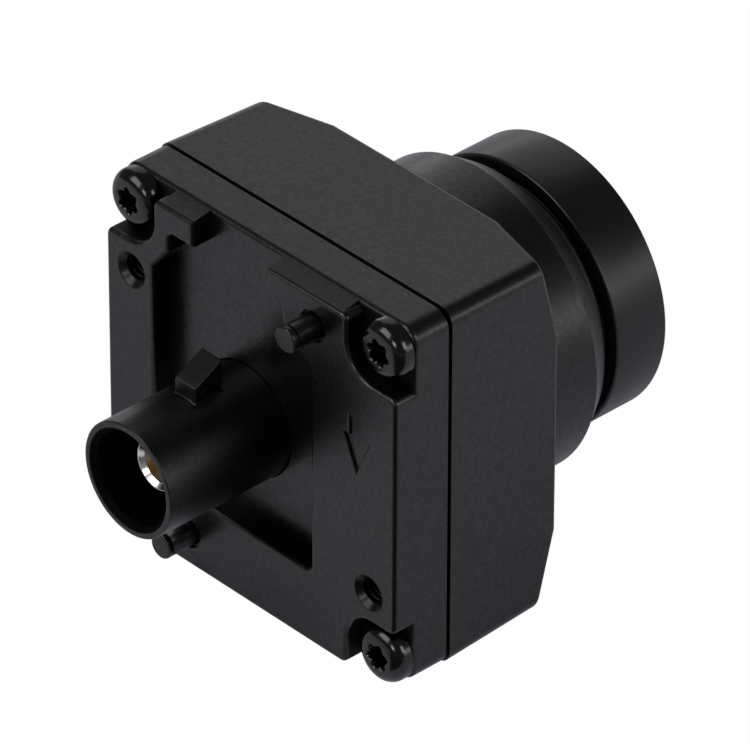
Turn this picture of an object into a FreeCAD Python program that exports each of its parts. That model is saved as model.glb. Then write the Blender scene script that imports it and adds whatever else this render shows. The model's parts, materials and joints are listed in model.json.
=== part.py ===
"""Camera module: square moulded housing, rear cover with a round coaxial connector, and a lens.

The origin is the middle of the two-hole mounting pattern on the rear face, on the lens axis.
+Y points out of the lens, +Z is up and +X is to the right seen from behind. Lengths are in mm.
"""
import FreeCAD, Part
import Sketcher
import math
import os

SIZES = {
    # Front housing: square box with a drafted side, a flat cut at each front corner, and its walls
    "housing_width": 30.0,
    "housing_height": 30.0,
    "housing_depth": 10.5,
    "housing_edge_radius": 1.2,
    "draft_inset": 0.3,
    "facet_leg": 6.5,
    "facet_depth": 1.55,
    "side_wall": 2.8,
    "front_wall": 2.0,
    "ledge_width": 0.8,
    "corner_boss_radius": 3.0,
    # Round lens holder on the front of the housing
    "holder_radius": 12.3,
    "holder_length": 6.17,
    "nose_radius": 11.0,
    "nose_length": 2.03,
    # Rear cover: flange, raised rear pads, open recess and screw pockets
    "cover_depth": 5.3,
    "cover_inset": 0.04,
    "cover_edge_radius": 1.4,
    "cover_floor": 1.8,
    "cover_cavity_margin": 4.8,
    "floor_edge_radius": 0.45,
    "pad_edge_radius": 0.35,
    "joint_gap": 0.3,
    "joint_gap_depth": 0.45,
    "recess_depth": 1.75,
    "recess_corner_radius": 0.5,
    "left_pad_width": 4.91,
    "right_pad_width": 8.66,
    "low_pad_height": 6.21,
    "block_drop": 0.36,
    "block_step": 0.02,
    "block_ramp_root": 1.0,
    "block_height": 2.15,
    "left_block_root": 1.55,
    "shoulder_right": 5.47,
    "shoulder_height": 1.55,
    "left_slope_height": 2.0,
    "right_slope_height": 2.7,
    "latch_opening_left": 3.75,
    "latch_opening_right": 3.95,
    "pocket_clearance": 2.93,
    "pocket_corner_radius": 2.7,
    "pocket_end_radius": 0.6,
    # Mounting holes, locating posts and arrow on the rear face
    "mount_inset_x": 2.7,
    "mount_inset_z": 7.5,
    "mount_hole_radius": 1.05,
    "mount_hole_depth": 3.6,
    "mount_mouth_radius": 1.475,
    "post_from_screw_x": 6.28,
    "post_from_screw_z": 0.73,
    "post_radius": 1.0,
    "post_length": 2.65,
    "post_root": 0.5,
    "post_flare": 0.1,
    "post_tip": 0.15,
    "post_moat_width": 0.28,
    "post_moat_depth": 0.3,
    "arrow_inset": 4.02,
    "arrow_top": 6.56,
    "arrow_shoulder": 4.95,
    "arrow_tip": 2.12,
    "arrow_stem_width": 1.28,
    "arrow_head_width": 2.4,
    "arrow_depth": 0.22,
    # Cover screws and their holes
    "screw_inset": 2.12,
    "screw_head_radius": 2.22,
    "screw_head_height": 1.5,
    "screw_head_round": 1.0,
    "screw_shank_radius": 1.1,
    "screw_length": 9.0,
    "screw_hole_clearance": 0.15,
    "screw_end_room": 0.5,
    "drive_core_radius": 0.78,
    "drive_lobe_radius": 0.28,
    "drive_depth": 0.8,
    # Seal rings and general fits
    "cover_seal_offset": 0.4,
    "cover_seal_width": 0.8,
    "cover_seal_depth": 0.8,
    "thread_clearance": 0.05,
    "slip": 0.05,
    # Connector: shroud tube with latch ramp and flange, on an axis beside the lens axis
    "connector_x": -2.1,
    "connector_z": -0.8,
    "shroud_radius": 4.5,
    "shroud_bore_radius": 3.6,
    "shroud_reach": 9.55,
    "shroud_bore_depth": 10.25,
    "shroud_lead_in": 0.43,
    "shroud_clearance": 0.1,
    "shroud_flange_radius": 6.2,
    "shroud_flange_thickness": 1.0,
    "latch_start": 5.45,
    "latch_length": 2.55,
    "latch_width": 2.1,
    "latch_low": 1.2,
    "latch_high": 2.55,
    "connector_seal_radius": 0.45,
    "contact_radius": 2.0,
    "contact_wall": 0.45,
    "contact_lead_in": 0.35,
    "contact_setback": 2.65,
    "contact_base_side": 7.0,
    "contact_base_height": 1.85,
    "insulator_setback": 1.85,
    "pin_radius": 0.45,
    "pin_setback": 0.15,
    "pin_tip": 0.25,
    "leg_pitch": 5.08,
    "leg_radius": 0.45,
    "leg_stick_out": 0.6,
    # Circuit boards and what is soldered on them
    "board_gap": 0.3,
    "board_thickness": 1.0,
    "sensor_board_thickness": 0.8,
    "sensor_standoff": 2.1,
    "board_screw_inset_x": 2.6,
    "board_screw_inset_z": 6.7,
    "board_screw_radius": 0.7,
    "board_screw_head_radius": 1.35,
    "board_screw_head_height": 0.9,
    "board_screw_bite": 1.2,
    "standoff_radius": 1.5,
    "processor_side": 5.0,
    "processor_height": 0.85,
    "processor_inset_x": 6.2,
    "processor_inset_z": 8.2,
    "regulator_side": 3.0,
    "regulator_height": 0.8,
    "regulator_gap": 2.5,
    "coil_side": 4.0,
    "coil_height": 1.8,
    "coil_inset_x": 5.2,
    "coil_inset_z": 7.2,
    "capacitor_length": 1.6,
    "capacitor_side": 0.8,
    "capacitor_spacing": 2.2,
    "capacitor_inset": 3.0,
    "plug_inset": 4.2,
    "plug_length": 9.0,
    "plug_width": 3.2,
    "plug_wall": 0.8,
    "socket_share": 0.63,
    "tongue_share": 0.55,
    "crystal_length": 3.2,
    "crystal_width": 2.5,
    "crystal_height": 0.7,
    "crystal_inset_x": 6.7,
    "crystal_inset_z": 8.2,
    "sensor_width": 7.8,
    "sensor_height": 7.0,
    "sensor_thickness": 0.9,
    "sensor_rim": 0.8,
    "sensor_well": 0.5,
    "die_gap": 0.3,
    "die_thickness": 0.3,
    "sensor_glass_thickness": 0.4,
    # Lens barrel, front ring and the elements from the rear to the front
    "bore_radius": 9.0,
    "barrel_tail_radius": 6.5,
    "barrel_tail_reach": 0.45,
    "barrel_tail_length": 1.25,
    "barrel_head_radius": 9.5,
    "seal_gap": 1.46,
    "lens_seal_radius": 0.5,
    "ring_wall": 1.22,
    "ring_length": 4.9,
    "ring_lip_width": 1.95,
    "ring_flare": 0.9,
    "ring_edge": 0.2,
    "filter_radius": 4.2,
    "filter_thickness": 0.3,
    "rear_web": 0.45,
    "rear_opening_radius": 3.8,
    "small_lens_radius": 4.5,
    "middle_lens_radius": 6.0,
    "front_lens_radius": 8.2,
    "fifth_lens_edge": 2.2,
    "fourth_lens_edge": 1.0,
    "cemented_curve": 7.0,
    "stop_thickness": 0.3,
    "stop_rim_height": 1.15,
    "stop_rim_width": 0.5,
    "stop_radius": 1.7,
    "third_lens_seat": 0.25,
    "third_lens_edge": 1.4,
    "third_front_curve": 9.0,
    "third_rear_curve": 12.0,
    "retainer_seat": 0.35,
    "retainer_height": 0.45,
    "retainer_width": 0.6,
    "rear_spacer_height": 1.6,
    "rear_spacer_width": 1.8,
    "second_lens_edge": 2.6,
    "second_lens_hollow": 1.6,
    "second_rear_curve": 5.0,
    "front_spacer_height": 1.0,
    "front_spacer_width": 1.2,
    "front_lens_edge": 2.5,
    "front_lens_hollow": 1.0,
    "front_lens_front_curve": 26.0,
    "front_lens_rear_curve": 8.0,
    "front_lens_room": 0.2,
}

# Planes across the lens axis, from the rear face at zero to the front of the lens
FLOOR = "size.recess_depth"
COVER_INNER = "(size.recess_depth + size.cover_floor)"
PARTING = "size.cover_depth"
FRONT = "(size.cover_depth + size.housing_depth)"
INNER_FRONT = f"({FRONT} - size.front_wall)"
NOSE = f"({FRONT} + size.holder_length + size.nose_length)"
RING_BACK = f"({NOSE} + size.seal_gap)"
RING_FRONT = f"({RING_BACK} + size.ring_length)"
MOUTH = "(-size.shroud_reach)"
CONTACT_FRONT = f"({MOUTH} + size.contact_setback)"
FLANGE_FRONT = f"({COVER_INNER} + size.shroud_flange_thickness)"
BOARD_REAR = f"({FLANGE_FRONT} + size.contact_base_height)"
LEDGE = f"({BOARD_REAR} + size.board_thickness)"
SENSOR_FRONT = f"({INNER_FRONT} - size.sensor_standoff)"
SENSOR_REAR = f"({SENSOR_FRONT} - size.sensor_board_thickness)"
BARREL_REAR = f"({INNER_FRONT} - size.barrel_tail_reach)"
REAR_SEAT = f"({BARREL_REAR} + size.filter_thickness + size.rear_web)"
FIFTH_FRONT = f"({REAR_SEAT} + size.fifth_lens_edge)"
FOURTH_FRONT = f"({FIFTH_FRONT} + size.fourth_lens_edge)"
STOP_FRONT = f"({FOURTH_FRONT} + size.stop_rim_height)"
THIRD_REAR = f"({STOP_FRONT} + size.third_lens_seat)"
THIRD_FRONT = f"({THIRD_REAR} + size.third_lens_edge)"
RETAINER_REAR = f"({THIRD_FRONT} + size.retainer_seat)"
MIDDLE_SEAT = f"({RETAINER_REAR} + size.retainer_height)"
SECOND_REAR = f"({MIDDLE_SEAT} + size.rear_spacer_height)"
SECOND_FRONT = f"({SECOND_REAR} + size.second_lens_edge)"
FRONT_SEAT = f"({SECOND_FRONT} + size.front_spacer_height)"
FRONT_LENS_RIM = f"({FRONT_SEAT} + size.front_lens_edge)"
BARREL_FRONT = f"({FRONT_LENS_RIM} + size.front_lens_room)"

# Half sizes and places across the axis
HALF_WIDTH = "(size.housing_width / 2)"
HALF_HEIGHT = "(size.housing_height / 2)"
COVER_HALF_WIDTH = f"({HALF_WIDTH} - size.cover_inset)"
COVER_HALF_HEIGHT = f"({HALF_HEIGHT} - size.cover_inset)"
CAVITY_HALF_WIDTH = f"({HALF_WIDTH} - size.side_wall)"
CAVITY_HALF_HEIGHT = f"({HALF_HEIGHT} - size.side_wall)"
SCREW_X = f"({HALF_WIDTH} - size.screw_inset)"
SCREW_Z = f"({HALF_HEIGHT} - size.screw_inset)"
CORNER_SUM = f"({SCREW_X} + {SCREW_Z} - size.corner_boss_radius * sqrt(2))"
CONNECTOR_AXIS = ("size.connector_x", "0", "size.connector_z")
MOUNT_X = f"({HALF_WIDTH} - size.mount_inset_x)"
MOUNT_Z = f"({HALF_HEIGHT} - size.mount_inset_z)"
POST_X = f"({SCREW_X} - size.post_from_screw_x)"
POST_Z = f"({SCREW_Z} - size.post_from_screw_z)"
BOARD_SCREW_X = f"({CAVITY_HALF_WIDTH} - size.board_screw_inset_x)"
BOARD_SCREW_Z = f"({CAVITY_HALF_HEIGHT} - size.board_screw_inset_z)"
PROCESSOR_X = f"({CAVITY_HALF_WIDTH} - size.processor_inset_x)"
PROCESSOR_Z = f"({CAVITY_HALF_HEIGHT} - size.processor_inset_z)"
PLUG_Z = f"(size.plug_inset - {CAVITY_HALF_HEIGHT})"
SOCKET_HEIGHT = f"(({SENSOR_REAR} - {LEDGE}) * size.socket_share)"
TONGUE_HEIGHT = f"({SOCKET_HEIGHT} * size.tongue_share)"
RING_BORE = "(size.barrel_head_radius + size.thread_clearance)"

doc = FreeCAD.newDocument("camera_module")
sheet = doc.addObject("Spreadsheet::Sheet", "size")
for row, (alias, value) in enumerate(SIZES.items(), start=1):
    sheet.set(f"A{row}", alias)
    sheet.set(f"B{row}", str(value))
    sheet.setAlias(f"B{row}", alias)
doc.recompute()
pieces = []


def number(expression):
    """Present value of an expression on the sheet."""
    return float(sheet.evalExpression(expression))


def place(thing, at):
    """Tie a thing's place to three expressions."""
    for axis, expression in zip("xyz", at):
        thing.setExpression(f"Placement.Base.{axis}", expression)


def new_body(label, at=None, is_piece=True):
    body = doc.addObject("PartDesign::Body", label)
    body.Label = label
    if at:
        place(body, at)
    if is_piece:
        pieces.append(body)
    return body


def new_sketch(body, plane, offset):
    """Sketch on one of the body's own planes, moved along that plane's normal."""
    sketch = body.newObject("Sketcher::SketchObject", "sketch")
    support = next(item for item in body.Origin.OriginFeatures if item.Role == plane)
    sketch.AttachmentSupport = [(support, "")]
    sketch.MapMode = "FlatFace"
    sketch.setExpression("AttachmentOffset.Base.z", offset)
    return sketch


def cross_sketch(body, y):
    """Sketch across the lens axis at y, with sketch x along X and sketch y along Z."""
    return new_sketch(body, "XZ_Plane", f"-({y})")


def bind(sketch, constraint, expression):
    """Add a dimension and tie it to an expression."""
    index = sketch.addConstraint(constraint)
    sketch.setExpression(f"Constraints[{index}]", expression)


def fix_point(sketch, geometry, end, x, y):
    """Hold a point of the sketch at two expressions from its origin."""
    bind(sketch, Sketcher.Constraint("DistanceX", -1, 1, geometry, end, number(x)), x)
    bind(sketch, Sketcher.Constraint("DistanceY", -1, 1, geometry, end, number(y)), y)


def circle(sketch, x, y, radius):
    centre = FreeCAD.Vector(number(x), number(y), 0)
    index = sketch.addGeometry(Part.Circle(centre, FreeCAD.Vector(0, 0, 1), number(radius)))
    fix_point(sketch, index, 3, x, y)
    bind(sketch, Sketcher.Constraint("Radius", index, number(radius)), radius)


def round_corner(sketch, before, after, corner, radius):
    """Arc of the radius between two lines that would meet at the corner, which stays as a point."""
    x, y = corner
    value = number(radius)
    middle = FreeCAD.Vector(number(x), number(y), 0)
    inward = sketch.Geometry[before].EndPoint - middle
    outward = sketch.Geometry[after].StartPoint - middle
    inward.normalize()
    outward.normalize()
    half_angle = inward.getAngle(outward) / 2
    bisector = inward + outward
    bisector.normalize()
    centre = middle + bisector * (value / math.sin(half_angle))
    reach = value / math.tan(half_angle)
    turns_left = inward.cross(outward).z < 0
    first, last = middle + inward * reach, middle + outward * reach
    if not turns_left:
        first, last = last, first
    start, stop = (math.atan2(point.y - centre.y, point.x - centre.x) for point in (first, last))
    rim = Part.Circle(centre, FreeCAD.Vector(0, 0, 1), value)
    arc = sketch.addGeometry(Part.ArcOfCircle(rim, start, stop if stop > start else stop + 2 * math.pi))
    point = sketch.addGeometry(Part.Point(middle), True)
    fix_point(sketch, point, 1, x, y)
    sketch.addConstraint([
        Sketcher.Constraint("PointOnObject", point, 1, before),
        Sketcher.Constraint("PointOnObject", point, 1, after),
        Sketcher.Constraint("Tangent", before, 2, arc, 1 if turns_left else 2),
        Sketcher.Constraint("Tangent", after, 1, arc, 2 if turns_left else 1),
    ])
    bind(sketch, Sketcher.Constraint("Radius", arc, value), radius)


def outline(sketch, corners):
    """Closed outline through corners, each x and y, and a radius where the corner is round."""
    places = [FreeCAD.Vector(number(corner[0]), number(corner[1]), 0) for corner in corners]
    ends = []
    for index, corner in enumerate(corners):
        gap = number(corner[2]) if len(corner) > 2 else 0.0
        here = places[index]
        to_last = (places[index - 1] - here).normalize()
        to_next = (places[(index + 1) % len(corners)] - here).normalize()
        reach = gap / math.tan(to_last.getAngle(to_next) / 2)
        ends.append((here + to_last * reach, here + to_next * reach))
    lines = []
    for index in range(len(corners)):
        segment = Part.LineSegment(ends[index][1], ends[(index + 1) % len(corners)][0])
        lines.append(sketch.addGeometry(segment))
    for index, corner in enumerate(corners):
        before, after = lines[index - 1], lines[index]
        if len(corner) > 2:
            round_corner(sketch, before, after, corner[:2], corner[2])
        else:
            sketch.addConstraint(Sketcher.Constraint("Coincident", before, 2, after, 1))
            fix_point(sketch, after, 1, *corner)


def rectangle(sketch, half_width, half_height, radius=None, x="0", z="0"):
    """Upright rectangle about a centre, with round corners where a radius is given."""
    rounding = (radius,) if radius else ()
    left, right = f"{x} - {half_width}", f"{x} + {half_width}"
    low, high = f"{z} - {half_height}", f"{z} + {half_height}"
    outline(sketch, [(*corner, *rounding) for corner in
                     ((left, low), (right, low), (right, high), (left, high))])


def octagon(sketch, half_width, half_height, corner_sum):
    """Rectangle about the lens axis with its corners cut where |x| + |z| reaches the corner sum."""
    side, crown = f"{corner_sum} - {half_width}", f"{corner_sum} - {half_height}"
    quarter = [(half_width, side), (crown, half_height)]
    right_top = quarter
    left_top = [(f"-({x})", z) for x, z in reversed(quarter)]
    left_low = [(f"-({x})", f"-({z})") for x, z in quarter]
    right_low = [(x, f"-({z})") for x, z in reversed(quarter)]
    outline(sketch, right_top + left_top + left_low + right_low)


def pad(body, sketch, length, to_front=True):
    feature = body.newObject("PartDesign::Pad", "pad")
    feature.Profile = sketch
    feature.setExpression("Length", length)
    feature.Reversed = to_front
    return feature


def pocket(body, sketch, depth, to_front=True, taper=None):
    feature = body.newObject("PartDesign::Pocket", "pocket")
    feature.Profile = sketch
    feature.setExpression("Length", depth)
    feature.Reversed = not to_front
    if taper:
        feature.setExpression("TaperAngle", taper)
    return feature


def revolve(body, points, x="0", z="0"):
    """Full turn of a profile, given as radius, y and any rounding, about the line along Y at x and z."""
    sketch = new_sketch(body, "XY_Plane", z)
    sketch.setExpression("AttachmentOffset.Base.x", x)
    outline(sketch, points)
    feature = body.newObject("PartDesign::Revolution", "revolution")
    feature.Profile = sketch
    feature.ReferenceAxis = (sketch, ["V_Axis"])
    feature.Angle = 360
    return feature


def turned(label, points, at=None, is_piece=True):
    body = new_body(label, at, is_piece)
    revolve(body, points)
    return body


def washer(label, inner, outer, rear, front):
    return turned(label, [(inner, rear), (outer, rear), (outer, front), (inner, front)])


def ring(label, major, minor, y, at=("0", "0", "0")):
    """Round rubber ring about the Y axis."""
    torus = doc.addObject("Part::Torus", label)
    torus.Label = label
    torus.Placement.Rotation = FreeCAD.Rotation(FreeCAD.Vector(1, 0, 0), 90)
    torus.setExpression("Radius1", major)
    torus.setExpression("Radius2", minor)
    place(torus, (at[0], y, at[2]))
    pieces.append(torus)


def box(label, width, depth, height, x, y, z, is_piece=True):
    """Block centred on x and z that reaches from y to y + depth."""
    block = doc.addObject("Part::Box", label)
    block.Label = label
    block.setExpression("Length", width)
    block.setExpression("Width", depth)
    block.setExpression("Height", height)
    place(block, (f"{x} - {width} / 2", y, f"{z} - {height} / 2"))
    if is_piece:
        pieces.append(block)
    return block


def disc(radius, rear, length):
    """Cylinder about the lens axis that starts at the rear plane."""
    cylinder = doc.addObject("Part::Cylinder", "disc")
    cylinder.Placement.Rotation = FreeCAD.Rotation(FreeCAD.Vector(1, 0, 0), -90)
    cylinder.setExpression("Radius", radius)
    cylinder.setExpression("Height", length)
    place(cylinder, ("0", rear, "0"))
    return cylinder


def ball(radius, y):
    """Sphere about a point on the lens axis, for one curved face of an element."""
    sphere = doc.addObject("Part::Sphere", "ball")
    sphere.setExpression("Radius", radius)
    place(sphere, ("0", y, "0"))
    return sphere


def common(label, shapes):
    result = doc.addObject("Part::MultiCommon", label)
    result.Label = label
    result.Shapes = shapes
    return result


def cut(label, base, tool):
    result = doc.addObject("Part::Cut", label)
    result.Label = label
    result.Base = base
    result.Tool = tool
    return result


def group(label, members):
    """Like pieces as one node of separate solids."""
    compound = doc.addObject("Part::Compound", label)
    compound.Label = label
    compound.Links = members
    pieces.append(compound)


def edges_in_plane(feature, y):
    """Names of the feature's edges that lie whole in the plane at y."""
    level = number(y)
    return [f"Edge{index}" for index, edge in enumerate(feature.Shape.Edges, start=1)
            if max(abs(edge.BoundBox.YMin - level), abs(edge.BoundBox.YMax - level)) < 1e-4]


def round_edges(body, feature, y, radius):
    """Fillet on all edges of the feature in the plane at y."""
    doc.recompute()
    fillet = body.newObject("PartDesign::Fillet", "fillet")
    fillet.Base = (feature, edges_in_plane(feature, y))
    fillet.setExpression("Radius", radius)
    return fillet


def four_corners(sketch, x, z, radius):
    for sign_x, sign_z in ((1, 1), (-1, 1), (-1, -1), (1, -1)):
        circle(sketch, f"{sign_x} * {x}", f"{sign_z} * {z}", radius)


def two_opposite(sketch, x, z, radius):
    for sign in (1, -1):
        circle(sketch, f"{sign} * {x}", f"{sign} * ({z})", radius)


def front_housing():
    body = new_body("front_housing")
    facet_start = f"({FRONT} - size.facet_depth)"
    facet_inset = "(size.draft_inset * (1 - size.facet_depth / size.housing_depth))"
    joint = cross_sketch(body, PARTING)
    rectangle(joint, HALF_WIDTH, HALF_HEIGHT, "size.housing_edge_radius")
    shoulder = cross_sketch(body, facet_start)
    rectangle(shoulder, f"({HALF_WIDTH} - {facet_inset})", f"({HALF_HEIGHT} - {facet_inset})",
              "size.housing_edge_radius")
    face = cross_sketch(body, FRONT)
    face_half_width = f"({HALF_WIDTH} - size.draft_inset)"
    face_half_height = f"({HALF_HEIGHT} - size.draft_inset)"
    side, crown = f"({face_half_height} - size.facet_leg)", f"({face_half_width} - size.facet_leg)"
    outline(face, [
        (f"-{crown}", f"-{face_half_height}"), (crown, f"-{face_half_height}"),
        (face_half_width, f"-{side}"), (face_half_width, side),
        (crown, face_half_height), (f"-{crown}", face_half_height),
        (f"-{face_half_width}", side), (f"-{face_half_width}", f"-{side}"),
    ])
    shell = body.newObject("PartDesign::AdditiveLoft", "shell")
    shell.Profile = joint
    shell.Sections = [shoulder, face]
    shell.Ruled = True
    revolve(body, [
        ("0", INNER_FRONT), ("size.holder_radius", INNER_FRONT),
        ("size.holder_radius", f"{FRONT} + size.holder_length"), ("size.nose_radius", NOSE), ("0", NOSE),
    ])
    ledge = cross_sketch(body, PARTING)
    octagon(ledge, CAVITY_HALF_WIDTH, CAVITY_HALF_HEIGHT, CORNER_SUM)
    pocket(body, ledge, f"{LEDGE} - {PARTING}")
    cavity = cross_sketch(body, PARTING)
    octagon(cavity, f"({CAVITY_HALF_WIDTH} - size.ledge_width)", f"({CAVITY_HALF_HEIGHT} - size.ledge_width)",
            CORNER_SUM)
    pocket(body, cavity, f"{INNER_FRONT} - {PARTING}")
    standoffs = cross_sketch(body, SENSOR_FRONT)
    two_opposite(standoffs, BOARD_SCREW_X, BOARD_SCREW_Z, "size.standoff_radius")
    pad(body, standoffs, "size.sensor_standoff")
    pilots = cross_sketch(body, SENSOR_FRONT)
    two_opposite(pilots, BOARD_SCREW_X, BOARD_SCREW_Z, "size.board_screw_radius + size.thread_clearance")
    pocket(body, pilots, "size.sensor_standoff + size.board_screw_bite + size.thread_clearance")
    bore = cross_sketch(body, INNER_FRONT)
    circle(bore, "0", "0", "size.bore_radius")
    pocket(body, bore, f"{NOSE} - {INNER_FRONT}")
    screw_holes = cross_sketch(body, PARTING)
    four_corners(screw_holes, SCREW_X, SCREW_Z, "size.screw_shank_radius + size.thread_clearance")
    pocket(body, screw_holes, f"{FLOOR} + size.screw_length - {PARTING} + size.screw_end_room")


def raised_outline():
    """Edge of the raised rear pads: the recess open at the top, then round the four screw pockets."""
    side, bottom = COVER_HALF_WIDTH, f"-{COVER_HALF_HEIGHT}"
    top = f"({COVER_HALF_HEIGHT} - size.block_drop)"
    wall_x, wall_z = f"({SCREW_X} - size.pocket_clearance)", f"({SCREW_Z} - size.pocket_clearance)"
    left, right = f"size.left_pad_width - {side}", f"{side} - size.right_pad_width"
    low = f"{bottom} + size.low_pad_height"
    block_low = f"({top} - size.block_height)"
    shoulder = f"({block_low} - size.shoulder_height)"
    shoulder_left = f"size.left_block_root - {wall_x}"
    shoulder_right = "size.connector_x + size.shoulder_right"
    opening_left = "size.connector_x - size.latch_opening_left"
    opening_right = "size.connector_x + size.latch_opening_right"
    small, large, end = (f"size.{name}_radius" for name in ("recess_corner", "pocket_corner", "pocket_end"))
    return [
        (opening_left, top), (opening_left, block_low),
        (shoulder_left, block_low, small), (shoulder_left, shoulder),
        (left, f"{shoulder} - size.left_slope_height"), (left, low, small), (right, low, small),
        (right, f"{shoulder} - size.right_slope_height"), (shoulder_right, shoulder),
        (shoulder_right, block_low, small), (opening_right, block_low), (opening_right, top),
        (wall_x, top, end), (wall_x, wall_z, large), (side, wall_z, end),
        (side, f"-{wall_z}", end), (wall_x, f"-{wall_z}", large), (wall_x, bottom, end),
        (f"-{wall_x}", bottom, end), (f"-{wall_x}", f"-{wall_z}", large), (f"-{side}", f"-{wall_z}", end),
        (f"-{side}", wall_z, end), (f"-{wall_x}", wall_z, large), (f"-{wall_x}", top, end),
    ]


def arrow_outline():
    """Arrow that points down, beside the upper right screw."""
    middle = f"{HALF_WIDTH} - size.arrow_inset"
    stem, head = "size.arrow_stem_width / 2", "size.arrow_head_width / 2"
    left, right = f"{middle} - {stem}", f"{middle} + {stem}"
    barb_left, barb_right = f"{middle} - {head}", f"{middle} + {head}"
    return [
        (left, "size.arrow_top"), (left, "size.arrow_shoulder"), (barb_left, "size.arrow_shoulder"),
        (middle, "size.arrow_tip"), (barb_right, "size.arrow_shoulder"),
        (right, "size.arrow_shoulder"), (right, "size.arrow_top"),
    ]


def block_ramp(body, start, end):
    """Sloped top of an upper block, from its rounded rear edge up to the flange."""
    section = new_sketch(body, "YZ_Plane", start)
    rear, front = "size.pad_edge_radius", f"({FLOOR} + 1.5 * size.floor_edge_radius)"
    root = f"{COVER_HALF_HEIGHT} - size.block_ramp_root"
    outline(section, [
        (rear, root), (front, root), (front, f"{COVER_HALF_HEIGHT} - size.block_step"),
        (rear, f"{COVER_HALF_HEIGHT} - size.block_drop"),
    ])
    pad(body, section, f"{end} - ({start})", to_front=False)


def rear_cover():
    body = new_body("rear_cover")
    axis_x, axis_z = "size.connector_x", "size.connector_z"
    flange = cross_sketch(body, FLOOR)
    rectangle(flange, COVER_HALF_WIDTH, COVER_HALF_HEIGHT, "size.cover_edge_radius")
    flange_pad = pad(body, flange, f"{PARTING} - {FLOOR} - size.joint_gap")
    round_edges(body, flange_pad, FLOOR, "size.floor_edge_radius")
    land = cross_sketch(body, f"{PARTING} - size.joint_gap")
    rectangle(land, f"({COVER_HALF_WIDTH} - size.joint_gap_depth)",
              f"({COVER_HALF_HEIGHT} - size.joint_gap_depth)", "size.cover_edge_radius")
    pad(body, land, "size.joint_gap")
    raised = cross_sketch(body, f"{FLOOR} + size.floor_edge_radius")
    outline(raised, raised_outline())
    raised_pad = pad(body, raised, f"{FLOOR} + size.floor_edge_radius", to_front=False)
    round_edges(body, raised_pad, "0", "size.pad_edge_radius")
    block_end = f"({SCREW_X} - size.pocket_clearance - size.pocket_end_radius)"
    block_ramp(body, f"-{block_end}", f"{axis_x} - size.latch_opening_left - size.pad_edge_radius")
    block_ramp(body, f"{axis_x} + size.latch_opening_right + size.pad_edge_radius", block_end)
    moats = cross_sketch(body, "0")
    two_opposite(moats, POST_X, POST_Z, "size.post_radius + size.post_moat_width")
    pocket(body, moats, "size.post_moat_depth")
    post = revolve(body, [
        ("0", "size.post_root"), ("size.post_radius + size.post_flare", "size.post_root"),
        ("size.post_radius", "0"), ("size.post_radius", "-size.post_length", "size.post_tip"),
        ("0", "-size.post_length"),
    ], POST_X, POST_Z)
    posts = body.newObject("PartDesign::PolarPattern", "posts")
    posts.Originals = [post]
    posts.Axis = (next(item for item in body.Origin.OriginFeatures if item.Role == "Y_Axis"), [""])
    posts.Angle = 360
    posts.Occurrences = 2
    body.Tip = posts
    cavity = cross_sketch(body, PARTING)
    rectangle(cavity, f"({HALF_WIDTH} - size.cover_cavity_margin)",
              f"({HALF_HEIGHT} - size.cover_cavity_margin)", "size.cover_edge_radius")
    pocket(body, cavity, f"{PARTING} - {COVER_INNER}", to_front=False)
    groove = cross_sketch(body, PARTING)
    seal_outlines(groove)
    pocket(body, groove, "size.cover_seal_depth", to_front=False)
    tube_hole = cross_sketch(body, FLOOR)
    circle(tube_hole, axis_x, axis_z, "size.shroud_radius + size.shroud_clearance")
    pocket(body, tube_hole, "size.cover_floor")
    seal_seat = cross_sketch(body, COVER_INNER)
    circle(seal_seat, axis_x, axis_z, "size.shroud_radius + 2 * size.connector_seal_radius + size.slip")
    pocket(body, seal_seat, "2 * size.connector_seal_radius", to_front=False)
    screw_holes = cross_sketch(body, FLOOR)
    four_corners(screw_holes, SCREW_X, SCREW_Z, "size.screw_shank_radius + size.screw_hole_clearance")
    pocket(body, screw_holes, f"{PARTING} - {FLOOR}")
    mount_holes = cross_sketch(body, "0")
    two_opposite(mount_holes, MOUNT_X, f"-{MOUNT_Z}", "size.mount_hole_radius")
    pocket(body, mount_holes, "size.mount_hole_depth")
    mouths = cross_sketch(body, "0")
    two_opposite(mouths, MOUNT_X, f"-{MOUNT_Z}", "size.mount_mouth_radius")
    pocket(body, mouths, "size.mount_mouth_radius - size.mount_hole_radius", taper="-45")
    arrow = cross_sketch(body, "0")
    outline(arrow, arrow_outline())
    pocket(body, arrow, "size.arrow_depth")


def seal_outlines(sketch):
    """Inner and outer edge of the joint's seal, set out from the housing's cavity."""
    for offset in ("size.cover_seal_offset", "(size.cover_seal_offset + size.cover_seal_width)"):
        octagon(sketch, f"({CAVITY_HALF_WIDTH} + {offset})", f"({CAVITY_HALF_HEIGHT} + {offset})",
                f"({CORNER_SUM} + {offset} * sqrt(2))")


def cover_seal():
    body = new_body("cover_seal")
    section = cross_sketch(body, PARTING)
    seal_outlines(section)
    pad(body, section, "size.cover_seal_depth", to_front=False)


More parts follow.
